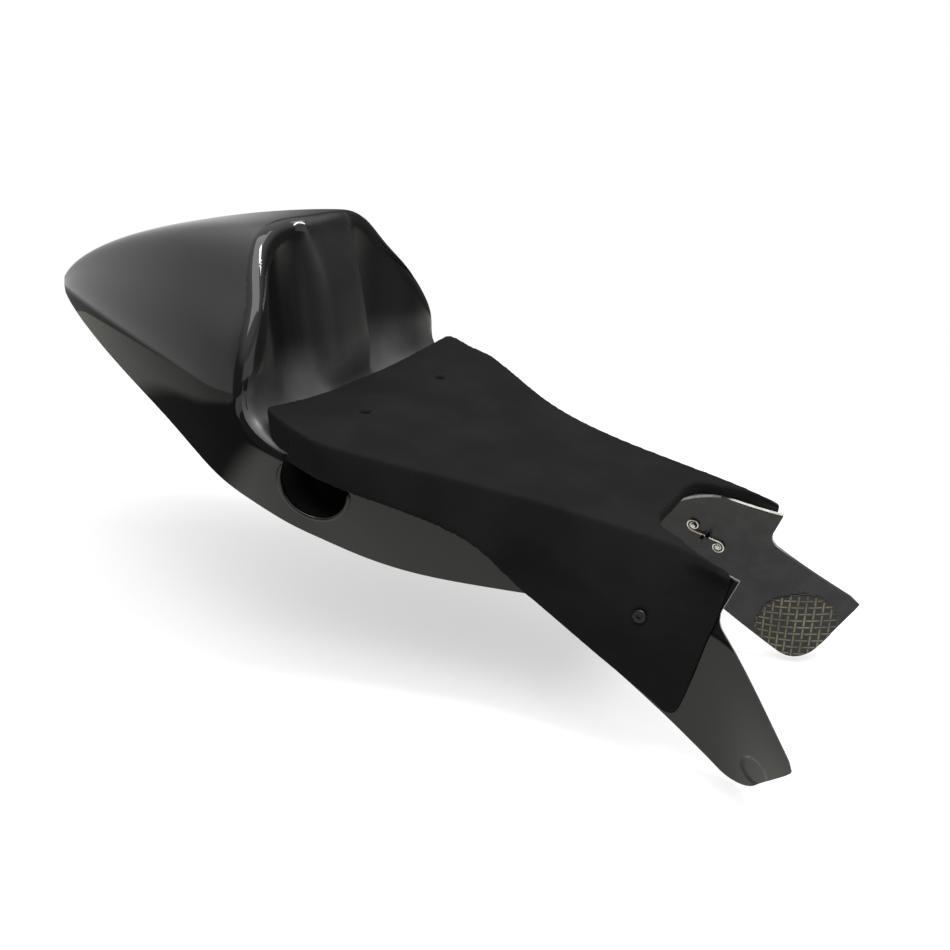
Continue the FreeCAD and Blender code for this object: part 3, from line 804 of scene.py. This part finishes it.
class Tree:
    """Nodes of a material or of the world."""

    def __init__(self, owner):
        owner.use_nodes = True
        self.owner = owner
        self.tree = owner.node_tree

    def put(self, place, value):
        """Link, colour or number into a node's input."""
        if isinstance(value, Socket):
            self.tree.links.new(value.output, place)
        elif isinstance(value, tuple):
            place.default_value = (*value, 1)
        else:
            place.default_value = value

    def node(self, kind, settings=None, sockets=None, output=0):
        """New node with its settings and the values or links of its sockets; gives one of its outputs."""
        node = self.tree.nodes.new(kind)
        for name, value in (settings or {}).items():
            setattr(node, name, value)
        for name, value in (sockets or {}).items():
            self.put(node.inputs[name], value)
        return Socket(self, node.outputs[output]) if node.outputs else None

    def place(self, kind="Object"):
        return self.node("ShaderNodeTexCoord", output=kind)

    def axes(self, kind="Object"):
        """Place along each of the three axes."""
        place = self.place(kind)
        return [self.node("ShaderNodeSeparateXYZ", sockets={0: place}, output=axis) for axis in "XYZ"]

    def noise(self, scale, detail, roughness=0.5):
        sockets = {"Scale": scale, "Detail": detail, "Roughness": roughness, "Vector": self.place()}
        return self.node("ShaderNodeTexNoise", sockets=sockets)

    def attribute(self, name):
        return self.node("ShaderNodeAttribute", {"attribute_name": name}, output="Fac")

    def mix(self, factor, first, second):
        """Colour between two colours."""
        return self.node("ShaderNodeMix", {"data_type": "RGBA"}, {0: factor, 6: first, 7: second}, 2)

    def grey(self, value, tint):
        """Colour of a varying brightness."""
        return self.node("ShaderNodeCombineColor", sockets={i: value * tint[i] for i in range(3)})

    def ray(self, kind):
        return self.node("ShaderNodeLightPath", output="Is " + kind + " Ray")

    def glow(self, colour, kind="ShaderNodeEmission"):
        return self.node(kind, sockets={"Color": colour, "Strength": 1.0})

    def matt(self, colour):
        return self.node("ShaderNodeBsdfDiffuse", sockets={"Color": colour})

    def blend(self, factor, first, second):
        """Shader between two shaders."""
        return self.node("ShaderNodeMixShader", sockets={0: factor, 1: first, 2: second})


class Finish(Tree):
    """Material with one principled shader."""

    def __init__(self, name, colour, roughness, metallic=0.0):
        super().__init__(bpy.data.materials.new(name))
        self.set("Base Color", colour)
        self.set("Roughness", roughness)
        self.set("Metallic", metallic)

    def set(self, name, value):
        self.put(self.tree.nodes["Principled BSDF"].inputs[name], value)

    def bump(self, height, strength, distance):
        sockets = {"Strength": strength, "Distance": distance, "Height": height}
        self.set("Normal", self.node("ShaderNodeBump", sockets=sockets, output="Normal"))


def gloss_black():
    """Polished black gelcoat."""
    finish = Finish("gloss black gelcoat", colour=(0.005, 0.005, 0.0055), roughness=0.05)
    finish.set("Roughness", finish.noise(scale=26.0, detail=5.0) * 0.04 + 0.025)
    return finish.owner


def dusty_black():
    """Black gelcoat with a film of dust, satin away from its polished rim."""
    finish = Finish("dusty black gelcoat", colour=(0.005, 0.005, 0.0055), roughness=0.05)
    film = finish.attribute("dust") * (finish.noise(scale=38.0, detail=6.0, roughness=0.6) * 0.9 + 0.45)
    finish.set("Base Color", finish.mix(film, (0.003, 0.0033, 0.0033), (0.056, 0.055, 0.058)))
    finish.set("Roughness", finish.attribute("satin") * 0.24 + film * 0.35 + 0.04)
    return finish.owner


def shaded_recess_black():
    """Matt black with little reflection at the bottom of the scoops: painted shade for their dark inside.
    """
    finish = Finish("recess black", colour=(0.002, 0.002, 0.002), roughness=0.7)
    # weak reflection keeps the scoop's inside as dark as shade: painted shade
    finish.set("Specular IOR Level", 0.1)
    return finish.owner


def inner_laminate():
    """Resin over glass on the inside of the shell."""
    finish = Finish("inner laminate", colour=(0.02, 0.023, 0.027), roughness=0.42)
    patches = finish.noise(scale=60.0, detail=6.0).step(0.35, 0.7)
    finish.set("Base Color", finish.mix(patches, (0.009, 0.011, 0.0128), (0.022, 0.0255, 0.028)))
    finish.bump(finish.noise(scale=420.0, detail=4.0), strength=0.5, distance=0.0006)
    return finish.owner


def raw_edge():
    """Sawn edge, pale at the notch and wing corners, dull on the legs and at the scoops; the pale is raw
    glass with painted highlight.
    """
    finish = Finish("raw laminate edge", colour=(0.3, 0.3, 0.28), roughness=0.6)
    ahead, _, up = finish.axes()
    grain = finish.noise(scale=160.0, detail=3.0).step(0.3, 0.7) * 0.4 + 0.6
    # pale band: raw glass colour plus painted highlight, kept to the upper front edges that catch the light
    pale_and_highlight = up.step(-0.12, -0.085) * ahead.step(0.12, 0.18) * grain
    finish.set("Base Color", finish.mix(pale_and_highlight, (0.035, 0.037, 0.036), (0.5, 0.5, 0.46)))
    return finish.owner


def foam():
    """Matt closed-cell foam with a fine skin."""
    finish = Finish("closed-cell foam", colour=(0.007, 0.007, 0.0075), roughness=0.85)
    finish.set("Specular IOR Level", 0.13)
    cloudy = finish.noise(scale=16.0, detail=7.0).step(0.35, 0.72)
    finish.set("Base Color", finish.mix(cloudy, (0.0055, 0.0055, 0.0058), (0.0088, 0.0088, 0.0092)))
    finish.bump(finish.noise(scale=900.0, detail=3.0), strength=0.35, distance=0.0006)
    return finish.owner


def steel(name, colour, roughness):
    """Bare or plated metal with a fine grain."""
    finish = Finish(name, colour, roughness, metallic=1.0)
    finish.set("Roughness", finish.noise(scale=240.0, detail=3.0) * 0.2 + (roughness - 0.1))
    return finish.owner


def weave():
    """Black and straw-coloured tows."""
    finish = Finish("basket weave", colour=(0.05, 0.05, 0.04), roughness=0.45)
    tow = finish.attribute("tow")
    finish.set("Base Color", finish.mix(tow, (0.012, 0.013, 0.013), (0.25, 0.225, 0.135)))
    return finish.owner


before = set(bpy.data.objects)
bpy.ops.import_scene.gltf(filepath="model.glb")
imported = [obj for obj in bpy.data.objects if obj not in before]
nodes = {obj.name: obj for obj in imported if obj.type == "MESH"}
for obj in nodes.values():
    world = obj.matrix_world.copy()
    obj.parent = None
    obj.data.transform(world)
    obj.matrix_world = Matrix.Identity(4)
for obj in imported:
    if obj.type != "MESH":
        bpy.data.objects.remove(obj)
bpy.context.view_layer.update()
scene = bpy.context.scene

BLACK, DUSTY, SHADED_RECESS = gloss_black(), dusty_black(), shaded_recess_black()
LAMINATE, EDGE = inner_laminate(), raw_edge()
FOAM_LOOK, WEAVE = foam(), weave()
STUD_STEEL = steel("dark plated steel", (0.045, 0.047, 0.05), 0.34)
WIRE_STEEL = steel("spring wire", (0.72, 0.69, 0.62), 0.3)
RIVET_METAL = steel("rivet alloy", (0.6, 0.6, 0.6), 0.35)

# Shell
hull, seat = hull_surface(), seat_surface()
(hull_width, hull_top), seat_height = hull_table(hull), seat_table(seat)
outline, scoop = shell_outline(), scoop_outline()
notch = notch_outline(NOTCH_X, NOTCH_ROUND, NOTCH_HALF_WIDTH)
pan_notch = notch_outline(NOTCH_X - PAN_BACK, NOTCH_ROUND, NOTCH_HALF_WIDTH)
wing_notch = notch_outline(NOTCH_X, WING_NOTCH_ROUND, WING_NOTCH_HALF_WIDTH)


def outward(surface, spot, axis):
    """Sign that turns the surface's normal at a spot along an axis outwards."""
    uv = np.array([spot])
    mirrored = surface.points(uv)[0, 1] if axis == 1 else 1.0
    return 1.0 if surface.normals(uv)[0, axis] * mirrored > 0 else -1.0


def hump_and_sides():
    uv, triangles = hull.grid(*HULL_LINES, *near_dimples(DIMPLE_LINES))
    for rule in (hull_edge, in_outline, out_of_wing_notch, out_of_scoop, out_of_stud_hole):
        uv, triangles = clip(hull, uv, triangles, rule)
    left_flank = (hull.rows / 2, hull.columns * 0.75)
    away = outward(hull, left_flank, 1)
    return skin(hull, uv, triangles, away, "hump_and_sides", [BLACK, LAMINATE, EDGE], 0, off_seat)


def backrest_and_pan():
    uv, triangles = seat.grid(*SEAT_LINES)
    for rule in (seat_edge, in_outline, out_of_notch, out_of_bolt_holes):
        uv, triangles = clip(seat, uv, triangles, rule)
    pan_front = (seat.ends[0] / 2, seat.columns - 5.0)
    away = outward(seat, pan_front, 2)
    return skin(seat, uv, triangles, away, "backrest_and_pan", [DUSTY, LAMINATE, EDGE], 1, off_hull)


def add_dust(item):
    """Film of dust on the rib and in the hollow above the pad; satin inside the polished rim."""
    points = vertex_values(item.data, "co") / MM
    rib = fade(np.abs(points[:, 1]), *DUST_RIB)
    hollow = fade(points[:, 2], *DUST_HOLLOW)
    add_values(item.data, "dust", np.clip(DUST_THIN + DUST_ON_RIB * rib + DUST_IN_HOLLOW * hollow, 0, 1))
    add_values(item.data, "satin", smooth_step(off_hull(points)[0] / roll_radius(points), *SATIN_RISE))


def on_hull(line, side, lift=0.0):
    """Side-view line laid on the right or left outer face."""
    return np.stack([line[:, 0], side * (hull_width.at(line[:, 0], line[:, 1]) + lift), line[:, 1]], -1)


def upright_at(line, y):
    """Side-view line laid on an upright plane."""
    return np.stack([line[:, 0], np.full(len(line), y), line[:, 1]], -1)


def cup(side, name):
    """Closed recess behind a scoop's opening, with a rounded bottom edge."""
    outer = scoop_outline(WALL)
    rings = [on_hull(outer, side, -SCOOP_FLANGE_DROP), on_hull(scoop, side, -SCOOP_MOUTH_DROP)]
    for k in range(SCOOP_ROUND_STEPS + 1):
        angle = math.pi / 2 * k / SCOOP_ROUND_STEPS
        line = scoop_outline(-SCOOP_ROUND * (1 - math.cos(angle)))
        rings.append(upright_at(line, side * (SCOOP_BACK_Y + SCOOP_ROUND * (1 - math.sin(angle)))))
    rings.append(upright_at(outer, side * (SCOOP_BACK_Y - WALL)))
    n, last = len(outer), len(rings) - 1
    faces = []
    for r, s in [(r, r + 1) for r in range(last - 1)] + [(last, 0)]:
        for k in range(n):
            q = (k + 1) % n
            faces.append((r * n + k, r * n + q, s * n + q, s * n + k))
    faces.append(tuple((last - 1) * n + k for k in range(n)))
    faces.append(tuple(last * n + k for k in range(n))[::-1])
    if side < 0:
        faces = [face[::-1] for face in faces]
    # the recess wears the matt black that stands in for its shade: painted shade
    item = new_piece(name, np.concatenate(rings), faces, SHADED_RECESS)
    item.data.polygons.foreach_set("use_smooth", [len(face) == 4 for face in faces])
    item.data.update()
    return item


def lip(side, name):
    """Rounded lip along a scoop's opening, clear of the pad's edge."""
    line = resample(on_hull(scoop[LIP_ENDS:-LIP_ENDS], side), LIP_SPACING)
    return tube(line, SCOOP_LIP, name, BLACK, LIP_SIDES)


hull_skin, seat_skin = hump_and_sides(), backrest_and_pan()
add_dust(seat_skin)
cups = [cup(-1, "scoop_right"), cup(1, "scoop_left")]
lips = [lip(-1, "scoop_lip_right"), lip(1, "scoop_lip_left")]
for item in [hull_skin, seat_skin] + cups + lips:
    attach(item, "seat")
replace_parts(hull_skin, "seat_shell")


# Foam pad, softened from its own plain solid
def off_line(p, a, b):
    """Distance in the side view from the stretch between two points."""
    a, b = np.array(a), np.array(b)
    way = b - a
    t = np.clip(((p - a) @ way) / (way @ way), 0, 1)
    return np.linalg.norm(p - a - t[:, None] * way, axis=1)


def pan_line():
    """Pan on the centre line, forward and up."""
    count = 200
    middle = np.full(count, seat.ends[0] / 2)
    return seat.points(np.stack([middle, np.linspace(PAN_START, seat.ends[1], count)], -1))[:, [0, 2]]


PAN_X, PAN_Z = pan_line().T


def pan_z(x):
    """Height of the pan on the centre line."""
    return np.interp(x, PAN_X, PAN_Z)


def eased(points):
    """Foam thinned towards its front and lower edges on the wings, and drawn down to the wing's edge."""
    x, y, z = points.T.copy()
    side_view = np.stack([x, z], -1)
    out = np.abs(y) - hull_width.at(x, z)
    toe, crook, corner = PAD_FRONT
    front = np.minimum(off_line(side_view, toe, crook), off_line(side_view, crook, corner))
    low = off_line(side_view, PAD_HEEL, toe)
    above, below = FLANK_BELOW_PAN
    flank = smooth_step(-z, -pan_z(x) + above, -pan_z(x) + below)
    forward = smooth_step(x, *PAD_FORWARD)
    thin = THIN_EDGE + (1 - THIN_EDGE) * smooth_step(np.minimum(front, low), *THIN_FADE)
    thin = 1 - (1 - thin) * flank * forward
    draw = PAD_REACH * fade(low, *REACH_FADE) * flank * forward
    stretch = PAD_TOE * fade(np.hypot(x - toe[0], z - toe[1]), *TOE_FADE) * flank
    new_x = x + REACH_WAY[0] * draw + stretch
    new_z = z + REACH_WAY[1] * draw - TOE_DROP * stretch
    new_y = np.where(out > 0, np.sign(y) * (hull_width.at(new_x, new_z) + out * thin), y)
    share = np.clip((new_x - NOSE_START) / (NOSE_END - NOSE_START), 0, 1)
    proud = np.maximum(new_z - pan_z(new_x), 0)
    new_z = new_z - proud * (1 - np.sqrt(1 - share ** 2))
    return np.stack([new_x, new_y, new_z], -1)


def seated(points, normal):
    """Underside of the foam let down onto the pan's lowered sides."""
    depth, way = off_seat(points)
    under = smooth_step(-normal[:, 2], *UNDERSIDE) * (in_hull(points) > -HULL_MARGIN)
    under = under * (points[:, 0] < SEATED_END_X) * (way[:, 2] > SEATED_SLOPE)
    drop = np.clip(-depth / np.maximum(way[:, 2], SEATED_SLOPE) - SEATED_GAP, 0, SEATED_MOST)
    settled = points.copy()
    settled[:, 2] -= under * drop
    return settled


def cut_notch(item):
    """Tank notch at its full width, cut through the foam."""
    ring = np.minimum(notch, CUTTER_REACH)
    count = len(ring)
    points = [(x, y, height) for height in CUTTER_Z for x, y in ring]
    faces = [tuple(range(count))[::-1], tuple(range(count, 2 * count))]
    faces += [(k, (k + 1) % count, (k + 1) % count + count, k + count) for k in range(count)]
    cutter = new_piece("notch_cutter", points, faces)
    shape = bmesh.new()
    shape.from_mesh(cutter.data)
    bmesh.ops.recalc_face_normals(shape, faces=shape.faces)
    shape.to_mesh(cutter.data)
    shape.free()
    cut = item.modifiers.new("notch", "BOOLEAN")
    cut.operation = "DIFFERENCE"
    cut.object = cutter
    settle(item)
    bpy.data.objects.remove(cutter)


def foam_pad():
    mesh = nodes["seat_pad"].data.copy()
    mesh.transform(nodes["seat_pad"].matrix_world)
    item = bpy.data.objects.new("foam_cover", mesh)
    scene.collection.objects.link(item)
    cut_notch(item)
    remesh = item.modifiers.new("even", "REMESH")
    remesh.mode = "VOXEL"
    remesh.voxel_size = FOAM_VOXEL * MM
    soften = item.modifiers.new("soften", "SMOOTH")
    soften.factor = FOAM_SOFTNESS
    soften.iterations = FOAM_SOFTENING
    final = settle(item)
    settled = seated(eased(vertex_values(final, "co") / MM), vertex_values(final, "normal"))
    final.vertices.foreach_set("co", (settled * MM).ravel())
    final.materials.clear()
    final.materials.append(FOAM_LOOK)
    final.polygons.foreach_set("material_index", [0] * len(final.polygons))
    smooth_faces(final)
    return item


pad = foam_pad()
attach(pad, "seat")
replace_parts(pad, "seat_pad")


# Woven patches
def dash(across, along):
    """Shade of a short straight tow, from its middle."""
    return fade(np.abs(across), *DASH_WIDTH) * fade(np.abs(along), *DASH_LENGTH)


def woven_patch(side, name):
    """Disc of basket weave with a frayed edge on the inner face of a leg."""
    steps = np.linspace(-PATCH_RADIUS, PATCH_RADIUS, PATCH_POINTS)
    a, c = np.meshgrid(steps, steps, indexing="ij")
    x, z = PATCH_X + a, PATCH_Z + c
    far = np.hypot(a, c)
    p, q = a / TOW, c / TOW
    column, row = np.round(p), np.round(q)
    upright = dash(p - column, (q - column + 1) % 2 - 1)
    level = dash(q - row, (p - row) % 2 - 1)
    shade = np.maximum(upright, level)
    lift = TOW_BASE + (1 - TOW_BASE) * shade
    ragged = PATCH_FRAY * np.sin(np.floor(p) * FRAY_TURNS[0] + np.floor(q) * FRAY_TURNS[1])
    y = hull_width.at(x.ravel(), z.ravel()).reshape(x.shape) - WALL - PATCH_GLUE - PATCH_LIFT * lift
    points = np.stack([x, side * y, z], -1).reshape(-1, 3)
    fits = (far < PATCH_RADIUS - PATCH_FRAY + ragged).ravel() & (in_outline(points) > PATCH_MARGIN)
    index = np.arange(x.size).reshape(x.shape)
    faces = np.stack([index[:-1, :-1], index[1:, :-1], index[1:, 1:], index[:-1, 1:]], -1).reshape(-1, 4)
    faces = faces[fits[faces].all(1)]
    if side < 0:
        faces = faces[:, ::-1]
    item = new_piece(name, points, faces.tolist(), WEAVE)
    mesh = item.data
    wave_across = np.sin(p * WEAR_TURNS[0] + WEAR_STARTS[0])
    wave_up = np.sin(q * WEAR_TURNS[1] + WEAR_STARTS[1])
    worn = (1 - TOW_WEAR) + TOW_WEAR * wave_across * wave_up
    add_values(mesh, "tow", shade * worn * fade(far, *PATCH_FADE))
    smooth_faces(mesh)
    trimmed = bmesh.new()
    trimmed.from_mesh(mesh)
    loose = [v for v in trimmed.verts if not v.link_faces]
    bmesh.ops.delete(trimmed, geom=loose, context="VERTS")
    trimmed.to_mesh(mesh)
    trimmed.free()
    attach(item, "seat")
    return item


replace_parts(woven_patch(-1, "weave_right"), "patch_right")
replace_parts(woven_patch(1, "weave_left"), "patch_left")


# Studs, springs and rivets
def dress(node, material):
    mesh = nodes[node].data
    mesh.materials.clear()
    mesh.materials.append(material)
    for polygon in mesh.polygons:
        polygon.material_index = 0


for side in ("right", "left"):
    dress("stud_" + side, STUD_STEEL)
    dress("spring_" + side, WIRE_STEEL)
    dress("rivets_" + side, RIVET_METAL)


# Studio
def white_sheet():
    """White sheet that fades out for the camera; reflections see its bright middle and a dim rest."""
    sheet = Tree(bpy.data.materials.new("white sheet"))
    sheet.tree.nodes.clear()
    far = sheet.node("ShaderNodeVectorMath", {"operation": "LENGTH"}, {0: sheet.place()}, "Value")
    along = sheet.axes()[0]
    middle = along.step(*SHEET_REAR) * along.step(*SHEET_FRONT)
    behind = along.step(*SHEET_BEHIND)
    mirrored = sheet.glow(sheet.grey(middle * SHEET_GLOW + behind * BEHIND_GLOW + DIM_GLOW, SHEET_TINT))
    lit = sheet.blend(SHADOW, sheet.glow(WHITE), sheet.matt(SHEET_WHITE))
    seen = sheet.blend(far.step(*FLOOR_FADE), lit, sheet.glow(WHITE))
    direct = sheet.blend(sheet.ray("Camera"), sheet.matt(SHEET_BOUNCE), seen)
    surface = sheet.blend(sheet.ray("Glossy"), direct, mirrored)
    sheet.node("ShaderNodeOutputMaterial", sockets={"Surface": surface})
    return sheet.owner


def studio_world():
    """White to the camera; to reflections a dim room with a pale rear wall, a ceiling and a window."""
    room = Tree(bpy.data.worlds.new("studio"))
    room.tree.nodes.clear()
    ahead, aside, up = room.axes("Generated")
    wall = ahead.step(*REAR_WALL_AHEAD) * up.step(*REAR_WALL_UP) * REAR_WALL_GLOW
    ceiling = up.step(*CEILING_UP)
    window = ahead.step(*WINDOW_AHEAD) * up.step(*WINDOW_LOW) * up.step(*WINDOW_TOP)
    window = window * aside.step(*WINDOW_ASIDE) * WINDOW_GLOW
    light = room.grey(wall + ceiling + window + ROOM_GLOW, ROOM_TINT)
    mirrored = room.glow(light, "ShaderNodeBackground")
    white = room.glow(WHITE, "ShaderNodeBackground")
    room.node("ShaderNodeOutputWorld", sockets={"Surface": room.blend(room.ray("Camera"), mirrored, white)})
    return room.owner


def aim(item, way):
    """Point a light or the camera along a way."""
    item.rotation_euler = Vector(way).to_track_quat("-Z", "Y").to_euler()


def area_light(name, place, size, power):
    """Rectangular light that faces the origin."""
    light = bpy.data.lights.new(name, "AREA")
    light.shape = "RECTANGLE"
    light.energy = power
    light.size, light.size_y = size
    item = bpy.data.objects.new(name, light)
    item.location = place
    aim(item, -Vector(place))
    scene.collection.objects.link(item)


def solved_camera():
    """Camera solved from the photo."""
    data = bpy.data.cameras.new("camera")
    data.sensor_width = SENSOR
    data.lens = LENS
    data.clip_end = CLIP_END
    item = bpy.data.objects.new("camera", data)
    item.location = CAMERA_AT
    aim(item, CAMERA_WAY)
    scene.collection.objects.link(item)
    return item


bpy.ops.mesh.primitive_plane_add(size=FLOOR_SIZE, location=(0, 0, FLOOR_Z))
floor = bpy.context.object
floor.name = "floor"
floor.data.materials.append(white_sheet())

scene.view_settings.view_transform = "Standard"
scene.view_settings.look = "None"
scene.world = studio_world()
area_light("key softbox", KEY_PLACE, KEY_SIZE, KEY_POWER)
area_light("strip", STRIP_PLACE, STRIP_SIZE, STRIP_POWER)
scene.camera = solved_camera()
